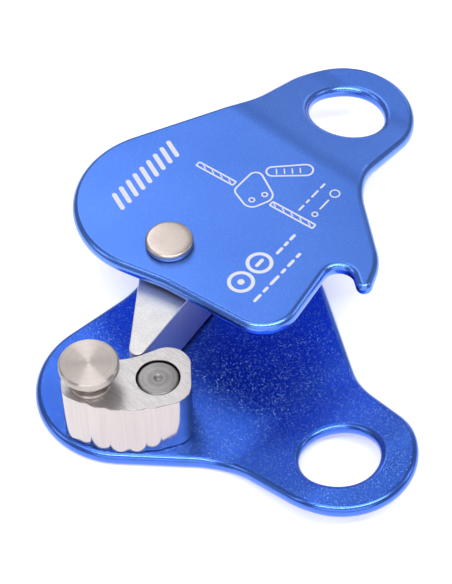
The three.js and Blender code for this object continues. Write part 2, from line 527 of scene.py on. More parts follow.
class Bench:
    """One mesh, worked on with Blender's own modelling operators."""

    def __init__(self, piece: bpy.types.Object) -> None:
        """Take up an object that is already in the scene."""
        self.piece = piece

    @staticmethod
    def clear() -> None:
        """Leave edit mode and deselect everything."""
        if bpy.context.object and bpy.context.object.mode != "OBJECT":
            bpy.ops.object.mode_set(mode="OBJECT")
        bpy.ops.object.select_all(action="DESELECT")

    @classmethod
    def of_node(cls, name: str, node: str, merge: float) -> Bench:
        """Start from a welded copy of a CAD node's mesh.

        Args:
            name: Name of the new piece.
            node: CAD node to copy.
            merge: Distance in millimetres under which corners are one.

        Returns:
            The bench with the new piece on it, in object mode.
        """
        cls.clear()
        piece = bpy.data.objects.new(name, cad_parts[node].data.copy())
        piece.data.name = name
        piece.data.materials.clear()
        bpy.context.scene.collection.objects.link(piece)
        bench = cls(piece)
        bench.hold()
        bpy.ops.mesh.customdata_custom_splitnormals_clear()
        bench.edit()
        bpy.ops.mesh.remove_doubles(threshold=merge * MM)
        bench.stop()
        return bench

    @classmethod
    def of_circle(cls, name: str, corners: int, radius: float, **settings: object) -> Bench:
        """Start from a circle.

        Args:
            name: Name of the new piece.
            corners: Number of its corners.
            radius: Its radius in millimetres.
            settings: Other settings of Blender's circle operator.

        Returns:
            The bench with the circle on it, in object mode.
        """
        cls.clear()
        bpy.ops.mesh.primitive_circle_add(vertices=corners, radius=radius * MM, **settings)
        bpy.ops.object.transform_apply(location=True, rotation=True, scale=True)
        piece = bpy.context.object
        piece.name = piece.data.name = name
        return cls(piece)

    def dissolve(self, flat_angle: float) -> None:
        """Make each flat one face.

        Args:
            flat_angle: Degrees within which neighbouring faces are one flat.
        """
        self.edit()
        bpy.ops.mesh.dissolve_limited(angle_limit=math.radians(flat_angle))
        self.stop()

    def hold(self) -> None:
        """Make this piece the only selected object and the active one."""
        self.clear()
        self.piece.select_set(True)
        bpy.context.view_layer.objects.active = self.piece

    def edit(self) -> None:
        """Enter edit mode on this piece, with all of it selected."""
        self.hold()
        bpy.ops.object.mode_set(mode="EDIT")
        bpy.ops.mesh.select_all(action="SELECT")

    def stop(self) -> None:
        """Go back to object mode."""
        bpy.ops.object.mode_set(mode="OBJECT")

    def modify(self, kind: str, **settings: object) -> None:
        """Add one modifier to the piece and apply it at once.

        Args:
            kind: Blender's type of modifier.
            settings: Its settings, by name.
        """
        self.hold()
        bpy.ops.object.modifier_add(type=kind)
        modifier = self.piece.modifiers[-1]
        for key, value in settings.items():
            setattr(modifier, key, value)
        bpy.ops.object.modifier_apply(modifier=modifier.name)

    def pick_edges(self, wanted: EdgeTest) -> int:
        """Select edges in edit mode.

        Args:
            wanted: Says of an edge if it is selected.

        Returns:
            How many edges were selected.
        """
        bpy.ops.mesh.select_mode(type="EDGE")
        bpy.ops.mesh.select_all(action="DESELECT")
        mesh = bmesh.from_edit_mesh(self.piece.data)
        chosen = [edge for edge in mesh.edges if wanted(edge)]
        for edge in chosen:
            edge.select_set(True)
        bmesh.update_edit_mesh(self.piece.data)
        return len(chosen)

    def bevel(self, wanted: EdgeTest, width: float, segments: int) -> None:
        """Round the edges that are wanted.

        Args:
            wanted: Says of an edge if it is rounded.
            width: Width in millimetres.
            segments: Faces across the round.
        """
        self.edit()
        if self.pick_edges(wanted):
            bpy.ops.mesh.bevel(
                offset=width * MM,
                offset_type="OFFSET",
                segments=segments,
                profile=0.5,
                affect="EDGES",
                clamp_overlap=False,
            )
        self.stop()

    def cut(self, cutter: Bench) -> None:
        """Take a cutter's shape out of the piece and remove the cutter."""
        self.modify("BOOLEAN", operation="DIFFERENCE", solver="EXACT", object=cutter.piece)
        bpy.data.objects.remove(cutter.piece)

    def settle(self, weld: float = 0.002, smooth: float = 35.0) -> None:
        """Weld the piece, turn its faces out, shade it smooth and keep its flats flat.

        Args:
            weld: Distance in millimetres under which corners are one.
            smooth: Degrees of fold up to which an edge is shaded smooth.
        """
        self.edit()
        bpy.ops.mesh.remove_doubles(threshold=weld * MM)
        bpy.ops.mesh.fill_holes(sides=0)
        bpy.ops.mesh.select_all(action="SELECT")
        bpy.ops.mesh.normals_make_consistent(inside=False)
        if bmesh.from_edit_mesh(self.piece.data).calc_volume(signed=True) < 0:
            bpy.ops.mesh.flip_normals()
        self.stop()
        self.hold()
        bpy.ops.object.shade_smooth_by_angle(angle=math.radians(smooth))
        self.modify("WEIGHTED_NORMAL", keep_sharp=True, weight=100)

    def fix(self, body: Body, slot: Slot, *nodes: str) -> None:
        """Hang the piece on a CAD body in place of its CAD nodes.

        Args:
            body: Body that it moves with.
            slot: Material slot of the record; not used.
            nodes: CAD nodes that it stands for.
        """
        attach(self.piece, body.value)
        if nodes:
            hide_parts(*nodes)
        LOG.info("%s: %d faces, on %s", self.piece.name, len(self.piece.data.polygons), body.value)

    def dress(self, *finishes: object) -> None:
        """Give the piece its materials, in the order of their slots."""
        for finish in finishes:
            self.piece.data.materials.append(finish.material())

    def dress_walls(self, slot: int, upright: float) -> None:
        """Give faces that point up or down by less than a share another material slot."""
        for face in self.piece.data.polygons:
            if abs(face.normal.z) < upright:
                face.material_index = slot


def sharper_than(degrees: float) -> EdgeTest:
    """Say which edges fold by more than an angle.

    Args:
        degrees: The angle.

    Returns:
        A test for one edge.
    """
    limit = math.radians(degrees)
    return lambda edge: len(edge.link_faces) == 2 and edge.calc_face_angle(0.0) > limit


@dataclass
class Lathe:
    """Turned pieces: a disc or ring extruded and scaled step by step up a profile."""

    name: str
    centre: Point
    sides: int = 96

    def turn(self, profile: Sequence[Point], bored: bool = False) -> Bench:
        """Turn a piece.

        Args:
            profile: Radius and level pairs in millimetres; a bored profile returns to its start.
            bored: True leaves the middle open.

        Returns:
            The bench with the piece.
        """
        radius, level = profile[0]
        x, y = self.centre
        place = (x * MM, y * MM, level * MM)
        fill = "NOTHING" if bored else "NGON"
        bench = Bench.of_circle(self.name, self.sides, radius, fill_type=fill, location=place)
        bench.edit()
        for next_radius, next_level in profile[1:]:
            self._step(radius, level, next_radius, next_level)
            radius, level = next_radius, next_level
        bench.stop()
        bench.settle()
        return bench

    def _step(self, radius: float, level: float, next_radius: float, next_level: float) -> None:
        """Extrude the selected rim to the next radius and level."""
        rise = (0, 0, (next_level - level) * MM)
        bpy.ops.mesh.extrude_region_move(TRANSFORM_OT_translate={"value": rise})
        if next_radius != radius:
            share = next_radius / radius
            middle = (self.centre[0] * MM, self.centre[1] * MM, next_level * MM)
            bpy.ops.transform.resize(value=(share, share, 1), center_override=middle)


def quarter(radius: float, level: float, size: float, steps: int = 5) -> list[Point]:
    """Rounded outer top corner of a turned profile.

    Args:
        radius: Outer radius before the corner.
        level: Level of the top face.
        size: Radius of the round.
        steps: Chords across it.

    Returns:
        Radius and level pairs from the side to the top face.
    """
    turns = [math.pi / 2 * step / steps for step in range(steps + 1)]
    return [
        (radius - size * (1 - math.cos(turn)), level - size * (1 - math.sin(turn)))
        for turn in turns
    ]


def ring_profile(
    outer: float, inner: float, low: float, high: float, edge: float, *groove: Point
) -> list[Point]:
    """Closed profile of a ring with chamfered corners.

    Args:
        outer: Outer radius.
        inner: Inner radius.
        low: Level of the underside.
        high: Level of the top face.
        edge: Width of the chamfers.
        groove: Further points on the top face, from the outside in.

    Returns:
        Radius and level pairs that end where they start.
    """
    start = (outer - edge, low)
    outside = [start, (outer, low + edge), (outer, high - edge), (outer - edge, high)]
    inside = [(inner + edge, high), (inner, high - edge), (inner, low + edge), (inner + edge, low)]
    return [*outside, *groove, *inside, start]


def turned_point(point: Point, degrees: float) -> Point:
    """Turn a point anticlockwise about the rivet."""
    angle = math.radians(degrees)
    x, y = point
    turned_y = x * math.sin(angle) + y * math.cos(angle)
    return x * math.cos(angle) - y * math.sin(angle), turned_y


def belt_outline(
    circles: Sequence[Circle], chord: float = 0.9, step: float = 9.0
) -> list[Point]:
    """Outline of a belt laid anticlockwise round circles.

    Args:
        circles: Centre and radius of each circle; a negative radius hollows the outline.
        chord: Longest chord on an arc, in millimetres.
        step: Largest turn between two chords, in degrees.

    Returns:
        The points of the outline.
    """
    headings = []
    for (x, y, radius), (next_x, next_y, next_radius) in zip(circles, circles[1:] + circles[:1]):
        distance = math.hypot(next_x - x, next_y - y)
        lean = math.asin((next_radius - radius) / distance)
        headings.append(math.atan2(next_y - y, next_x - x) - lean)
    points = []
    for index, (x, y, radius) in enumerate(circles):
        start = headings[index - 1]
        sweep = (headings[index] - start) % (2 * math.pi)
        if radius < 0:
            sweep -= 2 * math.pi
        arc = max(abs(sweep * radius) / chord, abs(math.degrees(sweep)) / step)
        chords = max(1, math.ceil(arc))
        for part in range(chords + 1):
            heading = start + sweep * part / chords
            points.append((x + radius * math.sin(heading), y - radius * math.cos(heading)))
    return points


def slab(name: str, outline: Sequence[Point], low: float, high: float) -> Bench:
    """Raise a flat slab with square edges over an outline.

    Args:
        name: Name of the piece.
        outline: Its corners in millimetres, anticlockwise.
        low: Level of the underside.
        high: Level of the top face.

    Returns:
        The bench with the slab.
    """
    bench = Bench.of_circle(name, len(outline), 1.0, fill_type="NGON")
    for vertex, (x, y) in zip(bench.piece.data.vertices, outline):
        vertex.co = (x * MM, y * MM, low * MM)
    bench.edit()
    rise = (0, 0, (high - low) * MM)
    bpy.ops.mesh.extrude_region_move(TRANSFORM_OT_translate={"value": rise})
    bpy.ops.mesh.select_all(action="SELECT")
    bpy.ops.mesh.normals_make_consistent(inside=False)
    bench.stop()
    return bench


# ---------------------------------------------------------------- sub-assemblies


@dataclass(frozen=True)
class Jog:
    """The two bends that offset a plate's eye from the rest of it, along one heading."""

    heading: float
    side: int
    start: float = 42.5
    end: float = 66.0
    height: float = 6.0
    blend: float = 3.0
    cuts: int = 8

    def distance(self, place: Vector) -> float:
        """Distance of a point from the rivet towards the eye, in millimetres."""
        angle = math.radians(self.heading)
        return (place.x * math.cos(angle) + place.y * math.sin(angle)) / MM

    def smooth(self, distance: float) -> float:
        """Height climbed at a distance, on true curves."""

        def rise(bend: float) -> float:
            """Height of a unit slope that starts at one bend."""
            past = min(max(distance - bend + self.blend, 0.0), 2 * self.blend)
            return past * past / (4 * self.blend) + max(distance - bend - self.blend, 0.0)

        slope = self.height / (self.end - self.start)
        return self.side * slope * (rise(self.start) - rise(self.end))

    def stations(self, parts: int) -> list[float]:
        """Distances that split both bends into equal parts."""
        steps = [2 * self.blend * part / parts - self.blend for part in range(parts + 1)]
        return [bend + step for bend in (self.start, self.end) for step in steps]

    def press(self, bench: Bench) -> None:
        """Cut the flat plate across at the bends and jog it."""
        angle = math.radians(self.heading)
        along = (math.cos(angle), math.sin(angle), 0.0)
        bench.edit()
        for station in self.stations(self.cuts):
            bpy.ops.mesh.select_all(action="SELECT")
            spot = tuple(part * station * MM for part in along)
            bpy.ops.mesh.bisect(plane_co=spot, plane_no=along)
        bench.stop()
        for vertex in bench.piece.data.vertices:
            vertex.co.z += self.smooth(self.distance(vertex.co)) * MM


BLUE = (0.1, 0.242, 0.82)
BLUE_SHADE = (0.085, 0.215, 0.77)
BLUE_GLINT = (0.38, 0.6, 1.0)
# Rim blues, darker than the faces' blues: painted shade on the plates' rims and walls.
DEEP_RIM_PAINTED_SHADE = (0.04, 0.14, 0.46)
PALE_RIM_PAINTED_SHADE = (0.08, 0.25, 0.72)
DEEP_BLUE = (0.05, 0.156, 0.7)
DEEP_SHADE = (0.036, 0.115, 0.58)


PIN: Point = (-3.3, -33.9)
STUD: Point = (-17.9, -34.6)


@dataclass(frozen=True)
class Seat:
    """A hole through a plate, wider on the underside where a lower head sits in it."""

    centre: Point
    hole: float
    head: float = 0.0


@dataclass
class CheekPlates:
    """The two jogged plates with their rounded rims."""

    thickness: float = 3.5
    swing_level: float = 19.8
    rim_round: float = 1.6
    rim_segments: int = 8
    rim_tilt: float = 0.96
    lip: float = 0.15
    head_depth: float = 1.65
    sharp: float = 50.0
    eye: Point = (35.5, -47.8)
    eye_hole: Seat = Seat((35.2, -48.7), 8.75)
    open_angle: float = 99.5
    pivot: Seat = Seat((0.0, 0.0), 3.25)
    seats: tuple[Seat, ...] = (
        Seat((0.0, 0.0), 3.25, 5.05),
        Seat(PIN, 3.05, 4.45),
        Seat(STUD, 3.05, 4.45),
    )
    shared: tuple[Circle, ...] = (
        (35.5, -47.8, 16.8),
        (63.0, -17.0, -23.5),
        (13.4, -2.4, 22.0),
        (-26.0, 18.0, -21.5),
    )
    lobe: tuple[Circle, ...] = ((-11.0, -23.5, 20.3),)
    hook: tuple[Circle, ...] = (
        (-19.5, -17.2, 8.6),
        (*STUD, -3.4),
        (-19.8, -39.9, 1.9),
        (-11.0, -31.0, 14.0),
    )
    outer_waist: Circle = (2.0, -64.0, -18.6)

    def build(self) -> None:
        """Make both plates."""
        closed = math.degrees(math.atan2(*reversed(self.eye)))
        fixed = self._blank("fixed_cheek", self.lobe, 0.0, 0.0)
        fixed.cut(self._bore(self.eye_hole, 0.0, self.rim_round))
        for seat in self.seats:
            fixed.cut(self._bore(seat, 0.0, self.lip))
        self._finish(fixed, Body.FRAME, Slot.DEEP_BLUE, Jog(closed, 1), "bottom_plate")

        level, turn = self.swing_level, self.open_angle
        swing = self._blank("swing_cheek", self.hook, level, turn)
        swing.cut(self._bore(self.pivot, level, self.lip))
        x, y = turned_point(self.eye_hole.centre, turn)
        swing.cut(self._bore(Seat((x, y), self.eye_hole.hole), level, self.rim_round))
        jog = Jog(closed + turn, -1)
        self._finish(swing, Body.SWING_PLATE, Slot.LIGHT_BLUE, jog, "top_plate")

    def _blank(self, name: str, ends: Sequence[Circle], level: float, turn: float) -> Bench:
        """Make a flat plate with rounded rims and no holes.

        Args:
            name: Name of the piece.
            ends: Circles of its outline that the other plate doesn't share.
            level: Level of its underside before it is jogged.
            turn: Degrees that it is turned open.

        Returns:
            The bench with the plate.
        """
        outline = belt_outline([*self.shared, *ends, self.outer_waist])
        turned = [turned_point(point, turn) for point in outline]
        bench = slab(name, turned, level, level + self.thickness)
        bench.bevel(sharper_than(self.sharp), self.rim_round, self.rim_segments)
        return bench

    def _turns(self) -> list[float]:
        """Turns across one rounded rim, in radians."""
        steps = self.rim_segments
        return [math.pi / 2 * step / steps for step in range(steps + 1)]

    def _bore(self, seat: Seat, level: float, lip: float) -> Bench:
        """Turn a cutter for one hole, flared at both mouths.

        Args:
            seat: The hole.
            level: Level of the plate's underside.
            lip: Radius of the rounded mouths.

        Returns:
            The bench with the cutter.
        """
        past, slack = 1.0, 0.003
        top = level + self.thickness
        mouth = [
            (seat.hole + lip * (1 - math.cos(turn)), top + slack - lip * (1 - math.sin(turn)))
            for turn in self._turns()
        ]
        flare = [(radius, level + top - height) for radius, height in reversed(mouth)]
        if seat.head:
            shelf = level + self.head_depth
            flare = [(seat.head, level - slack), (seat.head, shelf), (seat.hole, shelf)]
        start, end = flare[0][0], mouth[-1][0]
        profile = [(start, level - past), *flare, *mouth, (end, top + past)]
        return Lathe("cutter", seat.centre).turn(profile)

    def _finish(self, bench: Bench, body: Body, slot: Slot, jog: Jog, node: str) -> None:
        """Jog a cut plate, dress its faces and its rims and walls, which take darker blues as
        painted shade, and hang it on its body.
        """
        jog.press(bench)
        bench.settle()
        bench.dress(*self.finishes(body))
        # walls and rims take the darker rim blues as painted shade
        bench.dress_walls(1, self.rim_tilt)
        bench.fix(body, slot, node)

    @staticmethod
    def finishes(body: Body) -> tuple[SatinAnodising, PolishedAnodising]:
        """Choose the anodising of a plate's faces and of its rim, whose darker blues are painted
        shade.
        """
        if body is Body.FRAME:
            face = SatinAnodising(
                "deep_blue_satin", DEEP_BLUE, DEEP_SHADE, BLUE_GLINT, 0.26, 1.0, 0.09
            )
            return face, PolishedAnodising("deep_blue_rim_painted_shade", DEEP_BLUE, DEEP_RIM_PAINTED_SHADE, 0.24)
        face = SatinAnodising("light_blue_satin", BLUE, BLUE_SHADE, BLUE_GLINT, 0.38, 0.3, 0.014)
        return face, PolishedAnodising("light_blue_rim_painted_shade", BLUE_SHADE, PALE_RIM_PAINTED_SHADE, 0.25)


@dataclass
class EtchedMarks:
    """Plain generic marks etched on the swing plate, with no lettering."""

    level: float = 23.3
    half_thickness: float = 0.012
    turn: float = 51.0
    line: float = 0.42

    def __post_init__(self) -> None:
        """Start with no outlines."""
        self.outlines: list[list[Point]] = []

    def capsule(self, start: Point, end: Point, half_width: float, steps: int = 6) -> None:
        """Add a straight stroke with round ends."""
        heading = math.atan2(end[1] - start[1], end[0] - start[0])
        points = []
        for centre, base in ((end, heading - math.pi / 2), (start, heading + math.pi / 2)):
            for step in range(steps + 1):
                angle = base + math.pi * step / steps
                x = centre[0] + half_width * math.cos(angle)
                points.append((x, centre[1] + half_width * math.sin(angle)))
        self.outlines.append(points)

    def circle(self, centre: Point, radius: float, steps: int = 28) -> None:
        """Add a round outline, which is a hole inside another outline."""
        turns = [2 * math.pi * step / steps for step in range(steps)]
        self.outlines.append(
            [(centre[0] + radius * math.cos(a), centre[1] + radius * math.sin(a)) for a in turns]
        )

    def ring(self, centre: Point, outer: float, width: float) -> None:
        """Add a round line."""
        self.circle(centre, outer)
        self.circle(centre, outer - width)

    def belt(self, circles: Sequence[Circle]) -> None:
        """Add a closed line round circles, as a band that grows inwards."""
        for inset in (0.0, self.line):
            self.outlines.append(belt_outline([(x, y, r - inset) for x, y, r in circles]))

    def rod(self, low: Point, high: Point, corner: float) -> None:
        """Add a line round an upright box with round corners, between two opposite corners."""
        left, bottom = (part + corner for part in low)
        right, top = (part - corner for part in high)
        corners = ((left, bottom), (right, bottom), (right, top), (left, top))
        self.belt([(x, y, corner) for x, y in corners])

    def dashes(self, level: float, half_width: float, *strokes: tuple[float, float]) -> None:
        """Add a row of level strokes, each given by its left end and its length."""
        for x, length in strokes:
            self.capsule((x, level), (x + length, level), half_width, 4)

    def build(self) -> None:
        """Lay all the marks out and put them on the plate."""
        self.strand_border()
        self.rope_symbol()
        self.size_rows()
        self.round_stamps()
        bench = self._sheet("etched_marks")
        bench.settle()
        pale, dull = (0.66, 0.68, 0.74), (0.56, 0.58, 0.66)
        bench.dress(LaserEtch("laser_etch", pale, dull, self.turn))
        bench.fix(Body.SWING_PLATE, Slot.LIGHT_BLUE)

    def strand_border(self) -> None:
        """A length of twisted rope drawn as slanting strands."""
        left, right, low, high, lean = 2.4, 24.4, 15.3, 19.3, 2.0
        count = 9
        pitch = (right - left - lean) / (count - 1)
        for strand in range(count):
            x = left + strand * pitch
            self.capsule((x, low), (x + lean, high), 0.56)

    def rope_symbol(self) -> None:
        """A rope through a plain round-cornered body, with a long link beside it."""
        axis, half, corner, pitch = 23.1, 0.85, 0.45, 2.4
        for low, high in ((-0.9, 10.0), (-23.2, -10.9)):
            self.rod((axis - half, low), (axis + half, high), corner)
            for lay in range(int((high - low) / pitch)):
                y = low + 1.1 + lay * pitch
                self.capsule((axis - 0.26, y), (axis + 0.26, y + 0.9), 0.12, 3)
        self.belt([(21.6, -6.9, 2.5), (24.0, -8.0, 2.5), (27.3, -3.6, 1.9), (22.4, -3.5, 1.9)])
        self.ring((21.4, -6.9), 0.8, 0.35)
        self.ring((24.4, -8.3), 0.8, 0.35)
        self.belt([(35.9, -11.4, 1.9), (31.1, -5.5, 1.6)])
        for part in range(4):
            x, y = 31.6 + 1.15 * part, -6.3 - 1.4 * part
            self.capsule((x - 0.55, y - 0.45), (x + 0.55, y + 0.45), 0.15, 3)

    def size_rows(self) -> None:
        """Small and large rope sizes as two rings, and a row of dashes over them."""
        self.ring((26.2, -21.0), 0.8, 0.32)
        self.capsule((28.2, -21.0), (31.4, -21.0), 0.2, 4)
        self.ring((33.9, -21.0), 1.25, 0.32)
        self.dashes(-17.4, 0.24, (25.2, 1.6), (28.0, 0.9), (30.1, 2.2), (33.5, 1.4))

    def round_stamps(self) -> None:
        """Two round stamps with two rows of dashes."""
        self.ring((0.6, -19.5), 3.1, 0.85)
        self.circle((0.6, -19.5), 0.8)
        self.ring((7.4, -19.5), 3.1, 0.85)
        self.capsule((6.4, -19.5), (8.4, -19.5), 0.42, 4)
        self.dashes(-21.0, 0.36, (12.0, 1.7), (14.9, 0.9), (17.0, 1.4))
        self.dashes(-25.2, 0.36, (-2.0, 2.0), (1.4, 1.2), (4.0, 2.6))
        self.dashes(-25.2, 0.36, (8.1, 1.0), (10.5, 1.8), (13.7, 1.0))

    def _sheet(self, name: str) -> Bench:
        """Fill all outlines as one very thin sheet at the plate's top face.

        Args:
            name: Name of the piece.

        Returns:
            The bench with the piece.
        """
        Bench.clear()
        curve = bpy.data.curves.new(name, "CURVE")
        curve.dimensions = "2D"
        curve.fill_mode = "BOTH"
        curve.extrude = self.half_thickness * MM
        for outline in self.outlines:
            spline = curve.splines.new("POLY")
            spline.points.add(len(outline) - 1)
            for point, (x, y) in zip(spline.points, outline):
                point.co = (x * MM, y * MM, 0, 1)
            spline.use_cyclic_u = True
        piece = bpy.data.objects.new(name, curve)
        bpy.context.scene.collection.objects.link(piece)
        bench = Bench(piece)
        bench.hold()
        bpy.ops.object.convert(target="MESH")
        bench.piece = bpy.context.object
        turn = Matrix.Rotation(math.radians(self.turn), 4, "Z")
        bench.piece.data.transform(Matrix.Translation((0, 0, self.level * MM)) @ turn)
        return bench


@dataclass
class RivetStack:
    """Main rivet with its sleeve, washers and spring."""

    shank: float = 3.0
    head: float = 5.4
    foot: float = 4.8
    head_bottom: float = 23.45
    head_top: float = 25.35
    foot_depth: float = 1.5

    def build(self) -> None:
        """Make the rivet, sleeve, washers and spring."""
        self._rivet()
        self._sleeve()
        self._washer("lower_washer", "lower_thrust_washer", 3.65, 4.35)
        self._washer("upper_washer", "upper_thrust_washer", 18.75, 19.65)
        self._spring()

    def _rivet(self) -> None:
        """Turn the rivet, with a dished foot and a softly rounded head."""
        profile = [
            (0.5, 0.25),
            (0.9, 0.05),
            (1.1, 0.0),
            (self.foot - 0.15, 0.0),
            (self.foot, 0.15),
            (self.foot, self.foot_depth),
            (self.shank, self.foot_depth),
            (self.shank, self.head_bottom),
            (self.head - 0.25, self.head_bottom),
            (self.head - 0.05, self.head_bottom + 0.12),
            (self.head, self.head_bottom + 0.3),
            *quarter(self.head, self.head_top - 0.06, 0.62, 6),
            (self.head - 1.4, self.head_top - 0.02),
            (1.6, self.head_top),
        ]
        bench = Lathe("axle_rivet", (0.0, 0.0)).turn(profile)
        bright, dark = (0.6, 0.525, 0.495), (0.4, 0.34, 0.31)
        bench.dress(BlastedMetal("satin_steel", bright, dark, 0.3, 0.2, 0.012))
        bench.fix(Body.FRAME, Slot.SATIN_STAINLESS, "main_rivet")

    def _sleeve(self) -> None:
        """Turn the spacer sleeve, chamfered inside and out."""
        profile = ring_profile(outer=3.8, inner=3.25, low=3.65, high=19.65, edge=0.15)
        bench = Lathe("spacer_tube", (0.0, 0.0), 72).turn(profile, bored=True)
        bright, dark = (0.36, 0.36, 0.37), (0.25, 0.25, 0.26)
        bench.dress(TurnedMetal("sleeve_steel", bright, dark, 0.38, (0, 0), 0.3, 0.006))
        bench.fix(Body.FRAME, Slot.DARK_STEEL, "spacer_sleeve")

    @staticmethod
    def _washer(name: str, node: str, low: float, high: float) -> None:
        """Turn one thrust washer with a shallow grease groove in its upper face."""
        bottom = high - 0.14
        groove = [(5.35, high), (5.25, bottom), (5.0, bottom), (4.9, high)]
        profile = ring_profile(6.2, 4.05, low, high, 0.12, *groove)
        bench = Lathe(name, (0.0, 0.0), 72).turn(profile, bored=True)
        bright, dark = (0.62, 0.42, 0.2), (0.42, 0.27, 0.12)
        bench.dress(TurnedMetal(name + "_bronze", bright, dark, 0.4, (0, 0), 0.3, 0.008))
        bench.fix(Body.FRAME, Slot.BRONZE, node)

    @staticmethod
    def _spring() -> None:
        """Wind the torsion spring with a screw, then draw its two short legs out."""
        coil, wire, turns, pitch, base, leg, steps = 4.7, 0.45, 3.5, 1.1, 5.1, 1.0, 140
        place, upright = (coil * MM, 0, base * MM), (math.pi / 2, 0, 0)
        bench = Bench.of_circle("wound_spring", 12, wire, location=place, rotation=upright)
        sweep, climb = 2 * math.pi * turns, pitch * turns * MM
        bench.modify("SCREW", angle=sweep, screw_offset=climb, steps=steps, render_steps=steps)
        bench.edit()
        for side in (1, -1):

            def at_end(edge: bmesh.types.BMEdge, side: int = side) -> bool:
                """Say if an edge is on the wire's open end on one side."""
                return edge.is_boundary and edge.verts[0].co.x * side > 0

            bench.pick_edges(at_end)
            pull = (0, -side * leg * MM, 0)
            bpy.ops.mesh.extrude_region_move(TRANSFORM_OT_translate={"value": pull})
            bpy.ops.mesh.edge_face_add()
        bench.stop()
        bench.settle()
        bright, dark = (0.45, 0.45, 0.47), (0.33, 0.33, 0.35)
        bench.dress(BlastedMetal("spring_steel", bright, dark, 0.3, 0.3, 0.006))
        bench.fix(Body.FRAME, Slot.SPRING_WIRE, "jaw_spring")


@dataclass
class GripParts:
    """The jaw and the block that the rope is gripped between."""

    edge_round: float = 0.25
    edge_segments: int = 3
    lip: float = 0.06
    bores: tuple[Circle, ...] = ((*PIN, 4.85), (*STUD, 3.35))
    low: float = 3.65
    high: float = 18.65
    belly: Circle = (-8.9, -19.6, 23.2)
    groove_depth: float = 0.4
    groove_count: int = 5
    groove_pitch: float = 10.8
    groove_middle: float = -94.0
    chord: float = 0.26
    weld: float = 0.004
    flat_angle: float = 0.7
    rim_fold: float = 60.0
    wall_smooth: float = 25.0
    wall_tilt: float = 0.9
    jaw_fold: float = 50.0

    def build(self) -> None:
        """Make the jaw and the block."""
        self._jaw()
        self._block()

    def _jaw(self) -> None:
        """Round the jaw's rims and give its flats and walls their own finishes."""
        bench = Bench.of_node("grip_jaw", "pinch_jaw", self.weld)
        bench.dissolve(self.flat_angle)
        bench.bevel(sharper_than(self.jaw_fold), self.edge_round, self.edge_segments)
        bench.settle()
        bench.dress(
            BlastedMetal("jaw_satin", (0.8, 0.79, 0.8), (0.5, 0.5, 0.51), 0.42, 0.26, 0.03),
            DrawnMetal("jaw_wall", (0.74, 0.72, 0.74), (0.62, 0.6, 0.63), 0.42),
        )
        bench.dress_walls(1, self.wall_tilt)
        bench.fix(Body.JAW, Slot.TUMBLED, "pinch_jaw")

    def _block(self) -> None:
        """Cut the grooved block and give its top and walls their own finishes."""
        bench = slab("grooved_block", self._grooved_outline(), self.low, self.high)
        bench.bevel(sharper_than(self.rim_fold), self.edge_round, self.edge_segments)
        for bore in self.bores:
            bench.cut(self._bore(bore))
        bench.settle(smooth=self.wall_smooth)
        bench.dress(
            GroundMetal("block_ground", (0.66, 0.635, 0.645), (0.4, 0.38, 0.39), 0.4, -40.0, 0.04),
            DrawnMetal("block_wall", (0.54, 0.492, 0.498), (0.45, 0.405, 0.415), 0.12),
        )
        bench.dress_walls(1, self.wall_tilt)
        bench.fix(Body.FRAME, Slot.GROUND, "anvil_block")

    def _grooved_outline(self) -> list[Point]:
        """Outline of the block: hollow towards the jaw, with grooves across its belly."""
        circles = [
            (-1.3, -30.7, 5.2),
            (-12.2, -14.4, -14.0),
            (-18.2, -33.8, 6.2),
            (-20.9, -35.5, 3.4),
            self.belly,
            (-1.3, -36.2, 5.2),
        ]
        return [self._grooved(point) for point in belt_outline(circles, self.chord)]

    def _grooved(self, point: Point) -> Point:
        """Draw a point of the belly in, to leave convex lobes between sharp grooves.

        Args:
            point: Point of the plain outline.

        Returns:
            The same point, or one nearer to the belly's centre.
        """
        x, y, radius = self.belly
        spoke = complex(point[0] - x, point[1] - y)
        if abs(abs(spoke) - radius) > self.lip:
            return point
        heading = math.degrees(math.atan2(spoke.imag, spoke.real))
        place = (heading - self.groove_middle) / self.groove_pitch
        outermost = (self.groove_count - 1) // 2
        nearest = min(max(round(place), -outermost), outermost)
        share = max(1 - 2 * abs(place - nearest), 0.0)
        drawn = spoke * (1 - self.groove_depth * share**2 / radius)
        return x + drawn.real, y + drawn.imag

    def _bore(self, bore: Circle) -> Bench:
        """Turn a cutter for one bore of the block, with a small lip at its top."""
        x, y, radius = bore
        past = 1.0
        profile = [
            (radius, self.low - past),
            (radius, self.high - self.lip),
            (radius + self.lip, self.high),
            (radius + self.lip, self.high + past),
        ]
        return Lathe("cutter", (x, y)).turn(profile)


